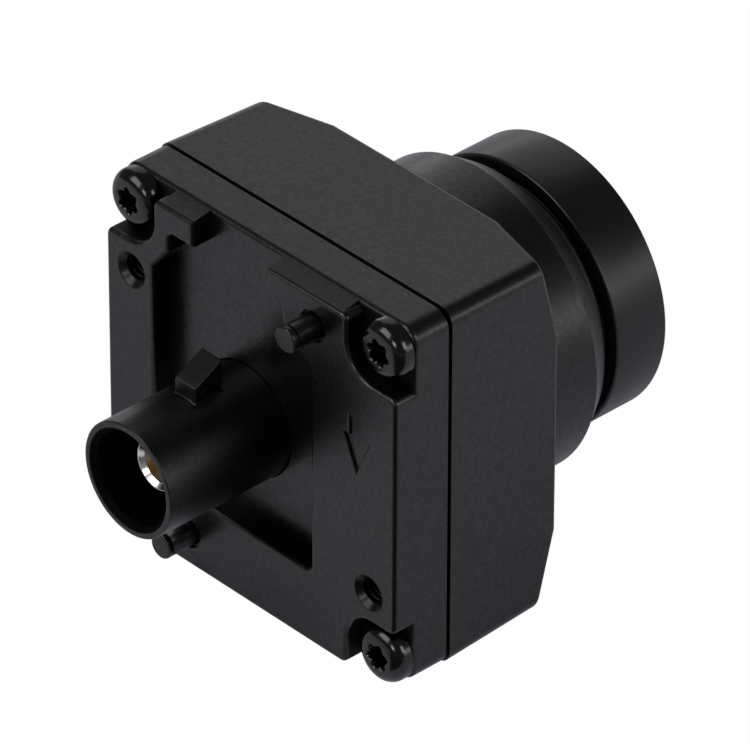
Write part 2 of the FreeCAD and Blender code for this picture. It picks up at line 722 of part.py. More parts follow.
def cover_screw(sign_x, sign_z):
    """Pan-head screw with a six-lobe recess, its head on the pocket floor."""
    body = new_body("cover_screw", (f"{sign_x} * {SCREW_X}", FLOOR, f"{sign_z} * {SCREW_Z}"), is_piece=False)
    revolve(body, [
        ("0", "-size.screw_head_height"),
        ("size.screw_head_radius", "-size.screw_head_height", "size.screw_head_round"),
        ("size.screw_head_radius", "0"), ("size.screw_shank_radius", "0"),
        ("size.screw_shank_radius", "size.screw_length - size.screw_shank_radius / 2"),
        ("size.screw_shank_radius / 2", "size.screw_length"), ("0", "size.screw_length"),
    ])
    core = cross_sketch(body, "-size.screw_head_height")
    circle(core, "0", "0", "size.drive_core_radius")
    pocket(body, core, "size.drive_depth")
    lobe = cross_sketch(body, "-size.screw_head_height")
    circle(lobe, "size.drive_core_radius", "0", "size.drive_lobe_radius")
    lobe_pocket = pocket(body, lobe, "size.drive_depth")
    lobes = body.newObject("PartDesign::PolarPattern", "lobes")
    lobes.Originals = [lobe_pocket]
    lobes.Axis = (lobe, ["N_Axis"])
    lobes.Angle = 360
    lobes.Occurrences = 6
    body.Tip = lobes
    return body


def connector_shroud():
    """Tube with an inner web round the contact, a latch ramp on top and a flange inside the cover."""
    body = new_body("connector_shroud", CONNECTOR_AXIS)
    web_rear = f"({MOUTH} + size.shroud_bore_depth)"
    contact_hole = "size.contact_radius + size.slip"
    revolve(body, [
        ("size.shroud_bore_radius + size.shroud_lead_in", MOUTH), ("size.shroud_radius", MOUTH),
        ("size.shroud_radius", COVER_INNER), ("size.shroud_flange_radius", COVER_INNER),
        ("size.shroud_flange_radius", FLANGE_FRONT), (contact_hole, FLANGE_FRONT), (contact_hole, web_rear),
        ("size.shroud_bore_radius", web_rear), ("size.shroud_bore_radius", f"{MOUTH} + size.shroud_lead_in"),
    ])
    ramp = new_sketch(body, "YZ_Plane", "-size.latch_width / 2")
    start, stop = f"{MOUTH} + size.latch_start", f"{MOUTH} + size.latch_start + size.latch_length"
    root = "(size.shroud_radius + size.shroud_bore_radius) / 2"
    outline(ramp, [
        (start, root), (stop, root), (stop, "size.shroud_radius + size.latch_high"),
        (start, "size.shroud_radius + size.latch_low"),
    ])
    pad(body, ramp, "size.latch_width", to_front=False)


def outer_contact():
    """Metal tube of the connector with its square base and four solder legs."""
    body = new_body("outer_contact", CONNECTOR_AXIS)
    base = cross_sketch(body, FLANGE_FRONT)
    rectangle(base, "size.contact_base_side / 2", "size.contact_base_side / 2")
    pad(body, base, "size.contact_base_height")
    tube = cross_sketch(body, CONTACT_FRONT)
    circle(tube, "0", "0", "size.contact_radius")
    pad(body, tube, f"{FLANGE_FRONT} - {CONTACT_FRONT}")
    legs = cross_sketch(body, BOARD_REAR)
    four_corners(legs, "size.leg_pitch / 2", "size.leg_pitch / 2", "size.leg_radius")
    pad(body, legs, "size.board_thickness + size.leg_stick_out")
    bore = cross_sketch(body, CONTACT_FRONT)
    circle(bore, "0", "0", "size.contact_radius - size.contact_wall")
    pocket(body, bore, f"{BOARD_REAR} - {CONTACT_FRONT}")
    lead_in = cross_sketch(body, CONTACT_FRONT)
    circle(lead_in, "0", "0", "size.contact_radius - size.contact_wall + size.contact_lead_in")
    pocket(body, lead_in, "size.contact_lead_in", taper="-45")


def inner_contacts():
    """Insulator in the outer contact and the pin through it."""
    outer = "size.contact_radius - size.contact_wall - size.slip"
    hole = "size.pin_radius + size.slip"
    rear = f"{CONTACT_FRONT} + size.insulator_setback"
    turned("contact_insulator", [(hole, rear), (outer, rear), (outer, BOARD_REAR), (hole, BOARD_REAR)],
           CONNECTOR_AXIS)
    tip = f"{CONTACT_FRONT} + size.pin_setback"
    end = f"{LEDGE} + size.leg_stick_out"
    turned("centre_contact", [
        ("0", tip), ("size.pin_radius - size.pin_tip", tip), ("size.pin_radius", f"{tip} + 2 * size.pin_tip"),
        ("size.pin_radius", end), ("0", end),
    ], CONNECTOR_AXIS)


def serializer_board():
    body = new_body("serializer_board")
    sheet_outline = cross_sketch(body, BOARD_REAR)
    octagon(sheet_outline, f"({CAVITY_HALF_WIDTH} - size.board_gap)",
            f"({CAVITY_HALF_HEIGHT} - size.board_gap)", f"({CORNER_SUM} - size.board_gap * sqrt(2))")
    circle(sheet_outline, "size.connector_x", "size.connector_z", "size.pin_radius + size.slip")
    for sign_x, sign_z in ((1, 1), (-1, 1), (-1, -1), (1, -1)):
        circle(sheet_outline, f"size.connector_x + {sign_x} * size.leg_pitch / 2",
               f"size.connector_z + {sign_z} * size.leg_pitch / 2", "size.leg_radius + size.slip")
    pad(body, sheet_outline, "size.board_thickness")
    box("serializer_chip", "size.processor_side", "size.processor_height", "size.processor_side",
        PROCESSOR_X, LEDGE, PROCESSOR_Z)
    box("voltage_regulator", "size.regulator_side", "size.regulator_height", "size.regulator_side",
        PROCESSOR_X, LEDGE,
        f"{PROCESSOR_Z} - (size.processor_side + size.regulator_side) / 2 - size.regulator_gap")
    box("power_coil", "size.coil_side", "size.coil_height", "size.coil_side",
        f"size.coil_inset_x - {CAVITY_HALF_WIDTH}", LEDGE, f"{CAVITY_HALF_HEIGHT} - size.coil_inset_z")
    group("chip_capacitors", [
        box("capacitor", "size.capacitor_side", "size.capacitor_side", "size.capacitor_length",
            f"{step} * size.capacitor_spacing", LEDGE, f"{CAVITY_HALF_HEIGHT} - size.capacitor_inset",
            is_piece=False)
        for step in range(-3, 4)])


def board_connectors():
    """Plug on the rear board and socket on the sensor board, mated between the two."""
    plug = new_body("board_plug")
    half_length, half_width = "size.plug_length / 2", "size.plug_width / 2"
    base = cross_sketch(plug, LEDGE)
    rectangle(base, half_length, half_width, z=PLUG_Z)
    pad(plug, base, f"{SENSOR_REAR} - {SOCKET_HEIGHT} - {LEDGE}")
    tongue = cross_sketch(plug, f"{SENSOR_REAR} - {SOCKET_HEIGHT}")
    rectangle(tongue, f"({half_length} - size.plug_wall - size.slip)",
              f"({half_width} - size.plug_wall - size.slip)", z=PLUG_Z)
    pad(plug, tongue, TONGUE_HEIGHT)
    socket = new_body("board_socket")
    wall = cross_sketch(socket, f"{SENSOR_REAR} - {SOCKET_HEIGHT}")
    rectangle(wall, half_length, half_width, z=PLUG_Z)
    pad(socket, wall, SOCKET_HEIGHT)
    slot = cross_sketch(socket, f"{SENSOR_REAR} - {SOCKET_HEIGHT}")
    rectangle(slot, f"({half_length} - size.plug_wall)", f"({half_width} - size.plug_wall)",
              z=PLUG_Z)
    pocket(socket, slot, f"{TONGUE_HEIGHT} + size.slip")


def sensor_board():
    body = new_body("sensor_board")
    sheet_outline = cross_sketch(body, SENSOR_REAR)
    margin = "(size.ledge_width + size.board_gap)"
    octagon(sheet_outline, f"({CAVITY_HALF_WIDTH} - {margin})", f"({CAVITY_HALF_HEIGHT} - {margin})",
            f"({CORNER_SUM} - size.board_gap * sqrt(2))")
    two_opposite(sheet_outline, BOARD_SCREW_X, BOARD_SCREW_Z, "size.board_screw_radius + size.slip")
    pad(body, sheet_outline, "size.sensor_board_thickness")
    box("clock_crystal", "size.crystal_length", "size.crystal_height", "size.crystal_width",
        f"{CAVITY_HALF_WIDTH} - size.crystal_inset_x", f"{SENSOR_REAR} - size.crystal_height",
        f"{CAVITY_HALF_HEIGHT} - size.crystal_inset_z")
    half_head = "size.board_screw_head_height / 2"
    end = "size.sensor_board_thickness + size.sensor_standoff + size.board_screw_bite"
    group("board_screws", [
        turned("board_screw", [
            ("0", "-size.board_screw_head_height"),
            ("size.board_screw_head_radius", "-size.board_screw_head_height", half_head),
            ("size.board_screw_head_radius", "0"), ("size.board_screw_radius", "0"),
            ("size.board_screw_radius", end), ("0", end),
        ], (f"{sign} * {BOARD_SCREW_X}", SENSOR_REAR, f"{sign} * {BOARD_SCREW_Z}"), is_piece=False)
        for sign in (1, -1)])


def image_sensor():
    """Package with an open well, the die in it and the glass that closes it."""
    body = new_body("image_sensor")
    tray = cross_sketch(body, SENSOR_FRONT)
    rectangle(tray, "size.sensor_width / 2", "size.sensor_height / 2")
    pad(body, tray, "size.sensor_thickness")
    package_front = f"({SENSOR_FRONT} + size.sensor_thickness)"
    well = cross_sketch(body, package_front)
    rectangle(well, "(size.sensor_width / 2 - size.sensor_rim)", "(size.sensor_height / 2 - size.sensor_rim)")
    pocket(body, well, "size.sensor_well", to_front=False)
    margin = "2 * (size.sensor_rim + size.die_gap)"
    box("sensor_die", f"(size.sensor_width - {margin})", "size.die_thickness",
        f"(size.sensor_height - {margin})", "0", f"{package_front} - size.sensor_well", "0")
    box("sensor_glass", "(size.sensor_width - size.sensor_rim)", "size.sensor_glass_thickness",
        "(size.sensor_height - size.sensor_rim)", "0", package_front, "0")


def lens_barrel():
    """Turned barrel with stepped seats for the elements, screwed into the holder."""
    thread = "size.bore_radius - size.thread_clearance"
    tail_front = f"{BARREL_REAR} + size.barrel_tail_length"
    small, middle, large = (f"size.{name}_lens_radius + size.slip" for name in ("small", "middle", "front"))
    filter_seat = f"{BARREL_REAR} + size.filter_thickness"
    turned("lens_barrel", [
        ("size.filter_radius + size.slip", BARREL_REAR), ("size.barrel_tail_radius", BARREL_REAR),
        ("size.barrel_tail_radius", tail_front), (thread, tail_front), (thread, RING_BACK),
        ("size.barrel_head_radius", RING_BACK), ("size.barrel_head_radius", BARREL_FRONT),
        (large, BARREL_FRONT), (large, FRONT_SEAT), (middle, FRONT_SEAT), (middle, MIDDLE_SEAT),
        (small, MIDDLE_SEAT), (small, REAR_SEAT), ("size.rear_opening_radius", REAR_SEAT),
        ("size.rear_opening_radius", filter_seat), ("size.filter_radius + size.slip", filter_seat),
    ])
    outer = f"{RING_BORE} + size.ring_wall"
    lip = f"{RING_BORE} - size.ring_lip_width"
    lip_rear = f"{BARREL_FRONT} + size.slip"
    turned("lens_ring", [
        (RING_BORE, RING_BACK), (outer, RING_BACK, "size.ring_edge"), (outer, RING_FRONT, "size.ring_edge"),
        (f"{lip} + size.ring_flare", RING_FRONT), (lip, lip_rear), (RING_BORE, lip_rear),
    ])
    ring("lens_seal", f"{thread} + size.lens_seal_radius", "size.lens_seal_radius",
         f"{NOSE} + size.seal_gap / 2")


def lens_elements():
    """Elements, stop and spacers, stacked from the rear seat to the front seat."""
    small, middle, front = (f"size.{name}_lens_radius" for name in ("small", "middle", "front"))
    pieces.append(common("infrared_filter", [
        disc("size.filter_radius", BARREL_REAR, "size.filter_thickness")]))
    cemented_vertex = f"({FIFTH_FRONT} - size.cemented_curve + sqrt(size.cemented_curve^2 - {small}^2))"
    cemented_centre = f"{cemented_vertex} + size.cemented_curve"
    pieces.append(cut("fifth_lens", disc(small, REAR_SEAT, "size.fifth_lens_edge"),
                      ball("size.cemented_curve", cemented_centre)))
    pieces.append(common("fourth_lens", [
        disc(small, REAR_SEAT, "size.fifth_lens_edge + size.fourth_lens_edge"),
        ball("size.cemented_curve", cemented_centre)]))
    stop_disc = f"{FOURTH_FRONT} + size.stop_thickness"
    turned("aperture_stop", [
        ("size.stop_radius", FOURTH_FRONT), (small, FOURTH_FRONT), (small, STOP_FRONT),
        (f"{small} - size.stop_rim_width", STOP_FRONT), (f"{small} - size.stop_rim_width", stop_disc),
        ("size.stop_radius", stop_disc),
    ])
    third_front_centre = f"{THIRD_FRONT} - sqrt(size.third_front_curve^2 - {small}^2)"
    third_rear_centre = f"{THIRD_REAR} + sqrt(size.third_rear_curve^2 - {small}^2)"
    third_span = "2 * size.third_lens_edge + 2 * size.stop_rim_height"
    pieces.append(common("third_lens", [
        disc(small, f"{THIRD_REAR} - size.stop_rim_height", third_span),
        ball("size.third_front_curve", third_front_centre),
        ball("size.third_rear_curve", third_rear_centre)]))
    washer("lens_retainer", f"{small} - size.retainer_width", small, RETAINER_REAR, MIDDLE_SEAT)
    washer("rear_spacer", f"{middle} - size.rear_spacer_width", middle, MIDDLE_SEAT, SECOND_REAR)
    pieces.append(cut("second_lens", disc(middle, SECOND_REAR, "size.second_lens_edge"),
                      ball("size.second_rear_curve",
                           f"{SECOND_REAR} + size.second_lens_hollow - size.second_rear_curve")))
    washer("front_spacer", f"{middle} - size.front_spacer_width", middle, SECOND_FRONT, FRONT_SEAT)
    crown_centre = f"{FRONT_LENS_RIM} - sqrt(size.front_lens_front_curve^2 - {front}^2)"
    crown = common("front_lens_blank", [
        disc(front, FRONT_SEAT, "size.front_lens_edge + size.front_lens_radius"),
        ball("size.front_lens_front_curve", crown_centre)])
    pieces.append(cut("front_lens", crown,
                      ball("size.front_lens_rear_curve",
                           f"{FRONT_SEAT} + size.front_lens_hollow - size.front_lens_rear_curve")))


front_housing()
rear_cover()
cover_seal()
group("cover_screws", [cover_screw(*signs) for signs in ((1, 1), (-1, 1), (-1, -1), (1, -1))])
connector_shroud()
ring("connector_seal", "size.shroud_radius + size.connector_seal_radius", "size.connector_seal_radius",
     f"{COVER_INNER} - size.connector_seal_radius", CONNECTOR_AXIS)
outer_contact()
inner_contacts()
serializer_board()
board_connectors()
sensor_board()
image_sensor()
lens_barrel()
lens_elements()
doc.recompute()

for thing in doc.Objects:
    faults = {"Invalid", "Error"}.intersection(thing.State)
    if faults:
        raise RuntimeError(f"{thing.Label} ({thing.Name}) is {', '.join(faults)}")
for piece in pieces:
    if piece.Shape.isNull() or not piece.Shape.isValid():
        raise RuntimeError(f"{piece.Label} has no valid shape")

os.makedirs("parts", exist_ok=True)
for piece in pieces:
    piece.Shape.exportStep(f"parts/{piece.Label}.step")
    print(f"{piece.Label}: {len(piece.Shape.Solids)} solids, {piece.Shape.Volume:.2f} mm3")
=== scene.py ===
"""Camera module seen from behind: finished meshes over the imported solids, finishes, light and camera."""
import json
import math

import bmesh
import bpy
from mathutils import Matrix, Vector


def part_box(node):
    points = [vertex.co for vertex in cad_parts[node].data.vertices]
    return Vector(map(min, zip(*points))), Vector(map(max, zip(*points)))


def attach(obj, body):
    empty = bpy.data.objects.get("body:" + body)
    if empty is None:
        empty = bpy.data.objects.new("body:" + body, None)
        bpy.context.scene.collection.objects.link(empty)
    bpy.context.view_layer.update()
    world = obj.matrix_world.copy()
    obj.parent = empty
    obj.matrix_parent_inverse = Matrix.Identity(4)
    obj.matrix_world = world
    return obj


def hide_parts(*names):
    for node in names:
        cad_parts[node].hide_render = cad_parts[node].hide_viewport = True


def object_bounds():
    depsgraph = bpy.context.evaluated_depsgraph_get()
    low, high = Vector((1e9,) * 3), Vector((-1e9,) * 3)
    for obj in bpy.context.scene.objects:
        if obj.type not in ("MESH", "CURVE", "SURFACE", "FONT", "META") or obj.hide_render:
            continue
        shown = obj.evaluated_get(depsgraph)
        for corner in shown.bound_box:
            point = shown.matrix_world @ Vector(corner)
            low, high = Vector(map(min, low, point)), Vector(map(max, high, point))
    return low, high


MM = 0.001

# Places on the solids that details are fitted to, in millimetres
ON_PLANE = 0.01
FRONT_FACE_Y = 15.8
FRONT_RIM_Y, FRONT_RIM_OUT = 14.0, 14.2
HOLDER_RIM_Y, HOLDER_RIM_RADIUS = 23.9, 10.0
CUT_START, CUT_SLOPE, CUT_LOWEST_Y = 22.9, 1.55 / 5.88, 14.2
ARROW_X, ARROW_HALF_WIDTH, ARROW_LOW, ARROW_HIGH = 11.08, 1.25, 2.0, 6.7
SCREW_OUT, SCREW_SEAT_Y = 12.88, 1.75
POCKET_HALF, POCKET_RIM_Y, POCKET_FLOOR_Y = 3.1, 0.4, 1.8
POSTS = ((6.6, 12.15), (-6.6, -12.15))
POST_REACH, POST_BASE_Y = 1.05, 0.05
BLOCK_ENDS = ((-6.2, -5.85), (2.2, 1.85))
BLOCK_TOP_Y, BLOCK_TOP_Z = 0.34, 14.59
TUBE_BORE_REACH, TUBE_END_Y = 4.03, -9.5
HOLE_X, HOLE_Z, HOLE_WALL_RADIUS = 12.3, -7.5, 0.965

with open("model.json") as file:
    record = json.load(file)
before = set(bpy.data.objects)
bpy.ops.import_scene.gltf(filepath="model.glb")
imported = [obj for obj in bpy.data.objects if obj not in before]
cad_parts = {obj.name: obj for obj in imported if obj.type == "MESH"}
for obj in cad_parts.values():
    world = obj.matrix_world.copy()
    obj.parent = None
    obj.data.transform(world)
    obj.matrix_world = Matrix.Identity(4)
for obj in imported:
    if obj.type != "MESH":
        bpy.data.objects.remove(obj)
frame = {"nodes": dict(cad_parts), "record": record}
cad_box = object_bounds()


# Node trees: a socket with arithmetic, one way to add a node, and a finish with its principled shader
class Value:
    """A socket of a tree. Arithmetic on it adds Math nodes."""

    def __init__(self, owner, socket):
        self.owner = owner
        self.socket = socket

    def math(self, operation, *others):
        """Math node of the given values."""
        return self.owner.node("ShaderNodeMath", {"operation": operation}, dict(enumerate(others)))

    def __add__(self, other):
        return self.math("ADD", self, other)

    def __radd__(self, other):
        return self.math("ADD", other, self)

    def __sub__(self, other):
        return self.math("SUBTRACT", self, other)

    def __rsub__(self, other):
        return self.math("SUBTRACT", other, self)

    def __mul__(self, other):
        return self.math("MULTIPLY", self, other)

    def clipped(self, low, high):
        """0 below low, 1 above high, and a smooth step between."""
        return self.owner.node("ShaderNodeMapRange", {"interpolation_type": "SMOOTHSTEP"}, {
            "Value": self, "From Min": low, "From Max": high})


class Nodes:
    """A node tree and the one way to add a node to it."""

    def __init__(self, tree):
        self.tree = tree

    def node(self, kind, settings=None, inputs=None, output=0):
        """Any node: its settings first, then the values or links of its sockets."""
        made = self.tree.nodes.new(kind)
        for name, value in (settings or {}).items():
            setattr(made, name, value)
        for name, value in (inputs or {}).items():
            if isinstance(value, Value):
                self.tree.links.new(value.socket, made.inputs[name])
            else:
                made.inputs[name].default_value = value
        return Value(self, made.outputs[output])


class Finish(Nodes):
    """A material whose principled shader takes constants on its sockets and patterns from nodes."""

    def __init__(self, name, **constants):
        self.material = bpy.data.materials.new(name)
        self.material.use_nodes = True
        super().__init__(self.material.node_tree)
        self.shader = self.tree.nodes["Principled BSDF"]
        for socket, value in constants.items():
            self.shader.inputs[socket.replace("_", " ")].default_value = value
        self.place = self.node("ShaderNodeTexCoord", output="Object")

    def feed(self, socket, value):
        """Link a value to a socket of the principled shader."""
        self.tree.links.new(value.socket, self.shader.inputs[socket])

    def noise(self, size_mm, detail=2.0, roughness=0.5):
        """Noise from 0 to 1 whose grains are about the given size."""
        inputs = {"Vector": self.place, "Scale": 1 / (size_mm * MM), "Detail": detail, "Roughness": roughness}
        return self.node("ShaderNodeTexNoise", {}, inputs)

    def grains(self, size_mm):
        """Distance to the nearest of many scattered points, 0 at a point."""
        inputs = {"Vector": self.place, "Scale": 1 / (size_mm * MM)}
        return self.node("ShaderNodeTexVoronoi", {}, inputs)

    def mix(self, factor, first, second):
        """Colour between two colours, each a tuple or a socket."""
        first, second = ((*c, 1.0) if isinstance(c, tuple) else c for c in (first, second))
        return self.node("ShaderNodeMix", {"data_type": "RGBA"}, {0: factor, 6: first, 7: second}, output=2)

    def bump(self, height, depth_mm, strength):
        """Raise the surface by a height from 0 to 1."""
        inputs = {"Height": height, "Distance": depth_mm * MM, "Strength": strength}
        self.feed("Normal", self.node("ShaderNodeBump", {}, inputs, output="Normal"))


# Finishes
def moulded_plastic(name, colour, roughness, grain_mm, grain_depth_mm):
    """Black moulded plastic: fine spark-eroded grain, mottled skin, cloudy gloss and a few pale flecks."""
    cloud_mm, skin_mm, fleck_spacing_mm = 5.0, 0.4, 1.3
    skin_weight, fleck_share, cloud_share = 0.19, 0.35, 0.3
    finish = Finish(name, Coat_Roughness=roughness, Specular_IOR_Level=0.375)
    cloud = finish.noise(cloud_mm, 3.0)
    grain = finish.noise(grain_mm, 2.0, 0.6)
    flecks = 1 - finish.grains(fleck_spacing_mm).clipped(0.03, 0.09)
    paler = tuple(c * 1.5 + 0.0008 for c in colour)
    finish.feed("Base Color", finish.mix(flecks * fleck_share + cloud * cloud_share, colour, paler))
    finish.feed("Roughness", roughness + (cloud - 0.5) * 0.08 + (grain - 0.5) * 0.12)
    finish.feed("Coat Weight", finish.noise(skin_mm, 3.0).clipped(0.3, 0.7) * skin_weight)
    finish.bump(grain, grain_depth_mm, 0.6)
    return finish.material


def turned_metal(name, colour, roughness, ring_mm, **constants):
    """Turned and blackened metal with fine rings about the lens axis."""
    cloud_mm, ring_depth_mm = 4.0, 0.003
    finish = Finish(name, **constants)
    along = finish.node("ShaderNodeSeparateXYZ", {}, {0: finish.place}, output="Y")
    rings = finish.node("ShaderNodeTexNoise", {"noise_dimensions": "1D"}, {
        "W": along, "Scale": 1 / (ring_mm * MM), "Detail": 2.0})
    cloud = finish.noise(cloud_mm, 2.0)
    finish.feed("Base Color", finish.mix(cloud, colour, tuple(c * 1.35 for c in colour)))
    finish.feed("Roughness", roughness + (rings - 0.5) * 0.1 + (cloud - 0.5) * 0.06)
    finish.bump(rings, ring_depth_mm, 0.3)
    return finish.material


def plain_finish(name, colour, roughness, metallic, size_mm, depth_mm, spread=0.25, **constants):
    """A finish with a little unevenness in colour, gloss and height."""
    finish = Finish(name, Metallic=metallic, **constants)
    fine = finish.noise(size_mm, 3.0)
    finish.feed("Base Color", finish.mix(fine, tuple(c * (1 - spread) for c in colour), colour))
    finish.feed("Roughness", roughness + (fine - 0.5) * 0.15)
    finish.bump(fine, depth_mm, 0.4)
    return finish.material


def circuit_board():
    """Green solder mask over copper tracks, which show as paler, slightly raised lines."""
    tracks_per_metre, cloud_mm, track_height_mm = 700.0, 0.8, 0.03
    finish = Finish("board_green")
    upright = finish.node("ShaderNodeMapping", {}, {"Vector": finish.place, "Rotation": (math.pi / 2, 0, 0)})
    tracks = finish.node("ShaderNodeTexBrick", {"offset": 0.5}, {
        "Vector": upright, "Scale": tracks_per_metre, "Mortar Size": 0.06, "Mortar Smooth": 0.2,
    }, output="Fac")
    cloud = finish.noise(cloud_mm)
    raised = tracks * (0.6 + cloud * 0.4)
    finish.feed("Base Color", finish.mix(raised, (0.006, 0.05, 0.022), (0.03, 0.16, 0.07)))
    finish.feed("Roughness", 0.32 + cloud * 0.1)
    finish.bump(raised, track_height_mm, 0.6)
    return finish.material


def coated_glass(name, tint, reflection):
    """Clear element with a faint coloured coating and a trace of dust."""
    dust_mm = 0.6
    finish = Finish(name, Transmission_Weight=1.0, IOR=1.52, Specular_Tint=(*reflection, 1.0))
    dust = finish.noise(dust_mm, 4.0).clipped(0.62, 0.8)
    finish.feed("Base Color", finish.mix(dust, tint, tuple(c * 0.9 for c in tint)))
    finish.feed("Roughness", 0.015 + dust * 0.05)
    return finish.material


def shade_black_finish(name, level, roughness, depth_mm, specular):
    """Dull black that mirrors little and is darker than the part around it: painted shade inside holes and
    pockets.
    """
    return plain_finish(name, (level, level, level), roughness, metallic=0.0, size_mm=0.3, depth_mm=depth_mm,
                        Specular_IOR_Level=specular)


# Colour, roughness, and the size and depth of the grain in millimetres
MOULDED = {
    "housing_black": ((0.0010, 0.0010, 0.0012), 0.31, 0.24, 0.012),
    "cover_black": ((0.0010, 0.0010, 0.0012), 0.29, 0.24, 0.012),
    "connector_black": ((0.0010, 0.0010, 0.0016), 0.34, 0.3, 0.006),
}
# Colour, roughness, metallic, size and depth of the unevenness in millimetres, and the spread of the colour
PLAIN = {
    "screw_black": ((0.0012, 0.0012, 0.0012), 0.17, 0.0, 0.25, 0.004),
    # The seal is paler than black rubber: a painted highlight, so that it shows in the shaded groove.
    "seal_rubber": ((0.03, 0.03, 0.031), 0.42, 0.0, 0.3, 0.004),
    "contact_metal": ((0.86, 0.85, 0.82), 0.2, 1.0, 0.3, 0.003, 0.06),
    "pin_gold": ((0.83, 0.56, 0.20), 0.2, 1.0, 0.3, 0.004, 0.1),
    "insulator_cream": ((0.30, 0.19, 0.10), 0.45, 0.0, 0.4, 0.008, 0.15),
    "chip_black": ((0.028, 0.028, 0.03), 0.5, 0.0, 0.12, 0.006),
    "coil_grey": ((0.14, 0.14, 0.15), 0.6, 0.0, 0.2, 0.02),
    "capacitor_tan": ((0.45, 0.33, 0.2), 0.4, 0.0, 0.2, 0.01),
    "plug_ivory": ((0.7, 0.66, 0.56), 0.45, 0.0, 0.3, 0.006, 0.1),
    "crystal_metal": ((0.7, 0.7, 0.7), 0.28, 1.0, 0.2, 0.004, 0.1),
    "screw_steel": ((0.6, 0.6, 0.6), 0.28, 1.0, 0.2, 0.004, 0.1),
    "sensor_ceramic": ((0.3, 0.29, 0.28), 0.5, 0.0, 0.2, 0.006, 0.15),
    "sensor_silicon": ((0.08, 0.07, 0.12), 0.1, 0.3, 0.05, 0.001, 0.3),
}
FINISHES = {
    **{name: moulded_plastic(name, *look) for name, look in MOULDED.items()},
    **{name: plain_finish(name, *look) for name, look in PLAIN.items()},
    "ring_black": turned_metal("ring_black", (0.0012, 0.0012, 0.0013), 0.34, 0.12, Specular_IOR_Level=0.42),
    "barrel_black": turned_metal("barrel_black", (0.0015, 0.0015, 0.0015), 0.4, 0.2),
    "board_green": circuit_board(),
    "lens_glass": coated_glass("lens_glass", (0.96, 0.98, 0.98), (0.75, 1.0, 0.85)),
    "filter_glass": coated_glass("filter_glass", (0.75, 0.95, 0.93), (1.0, 0.6, 0.75)),
}
# Painted shade: a darker, duller black for the cover's screw pockets.
POCKET_SHADE_BLACK = shade_black_finish("bore_black", 0.0006, 0.5, 0.006, 0.15)
# Painted shade: a near-black for the inside of the connector's tube.
TUBE_SHADE_BLACK = shade_black_finish("tube_black", 0.0004, 0.6, 0.006, 0.04)
# Painted shade: a darker black for the countersunk mounting holes.
MOUTH_SHADE_BLACK = shade_black_finish("mouth_black", 0.0008, 0.32, 0.003, 0.3)
SLOT_OF = {item["node"]: item["material_slot"] for item in frame["record"]["subparts"]}


# Pieces that stand for the solids
def placed(name, data):
    """New object in the scene."""
    made = bpy.data.objects.new(name, data)
    bpy.context.scene.collection.objects.link(made)
    return made


def stand_in(mesh, node):
    """Object of a finished mesh in place of a node, with the node's finish unless the mesh has its own."""
    slot = SLOT_OF[node]
    if not mesh.materials:
        mesh.materials.append(FINISHES[slot])
    piece = placed(mesh.name, mesh)
    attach(piece, "root")
    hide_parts(node)
    return piece


def mesh_from(shape, name):
    """Mesh of a shape, which is freed."""
    mesh = bpy.data.meshes.new(name)
    shape.to_mesh(mesh)
    shape.free()
    return mesh


def weld(shape):
    """Join the points of a shape that lie in one place."""
    bmesh.ops.remove_doubles(shape, verts=shape.verts, dist=0.001 * MM)


def joined_shape(node):
    """Copy of a node's mesh with its triangles joined into flat faces and strips."""
    shape = bmesh.new()
    shape.from_mesh(frame["nodes"][node].data)
    weld(shape)
    flat = math.radians(0.4)
    bmesh.ops.dissolve_limit(shape, angle_limit=flat, verts=shape.verts, edges=shape.edges)
    return shape


def finished(node, width_mm, share=None, crease=28, shade_mask=None, shade_finish=POCKET_SHADE_BLACK, reshape=None):
    """Smooth-shaded copy of a node with rounded edges.

    Edges sharper than the crease, in degrees, are rounded by share(edge) of the width, or by all of it where
    no share is given. Faces that the shade mask picks get the shade finish, a darker black painted where
    shade falls in hollows. What reshape(shape) changes comes first.
    """
    shape = joined_shape(node)
    if reshape:
        reshape(shape)
    weight = shape.edges.layers.float.new("bevel_weight_edge")
    for edge in shape.edges:
        if len(edge.link_faces) == 2 and edge.calc_face_angle(0.0) > math.radians(crease):
            edge.smooth = False
            edge[weight] = share(edge) if share else 1.0
    for face in shape.faces:
        face.smooth = True
        face.material_index = 1 if shade_mask and shade_mask(face) else 0
    mesh = mesh_from(shape, f"{node}_finished")
    mesh.materials.append(FINISHES[SLOT_OF[node]])
    if shade_mask:
        mesh.materials.append(shade_finish)
    piece = stand_in(mesh, node)
    bevel = piece.modifiers.new("rounding", "BEVEL")
    bevel.limit_method = "WEIGHT"
    bevel.width = width_mm * MM
    bevel.segments = 4
    bevel.harden_normals = True
    bevel.use_clamp_overlap = share is None
    normals = piece.modifiers.new("normals", "WEIGHTED_NORMAL")
    normals.keep_sharp = True


def middle_mm(part):
    """Middle of an edge or face, in millimetres."""
    total = sum((vertex.co for vertex in part.verts), Vector())
    return total / (len(part.verts) * MM)


def housing_edge(edge):
    """Share of the rounding on the housing: its front rim in full, the end of the lens holder less."""
    place = middle_mm(edge)
    if place.y > FRONT_RIM_Y and max(abs(place.x), abs(place.z)) > FRONT_RIM_OUT:
        return 1.0
    at_holder = place.y > HOLDER_RIM_Y and math.hypot(place.x, place.z) > HOLDER_RIM_RADIUS
    return 0.4 if at_holder else 0.0


def arrow_rim(edge):
    """Share of the rounding on the cover: the rim of the sunken arrow alone."""
    place = middle_mm(edge)
    beside = abs(place.x - ARROW_X) < ARROW_HALF_WIDTH and ARROW_LOW < place.z < ARROW_HIGH
    return 1.0 if beside and abs(place.y) < ON_PLANE else 0.0


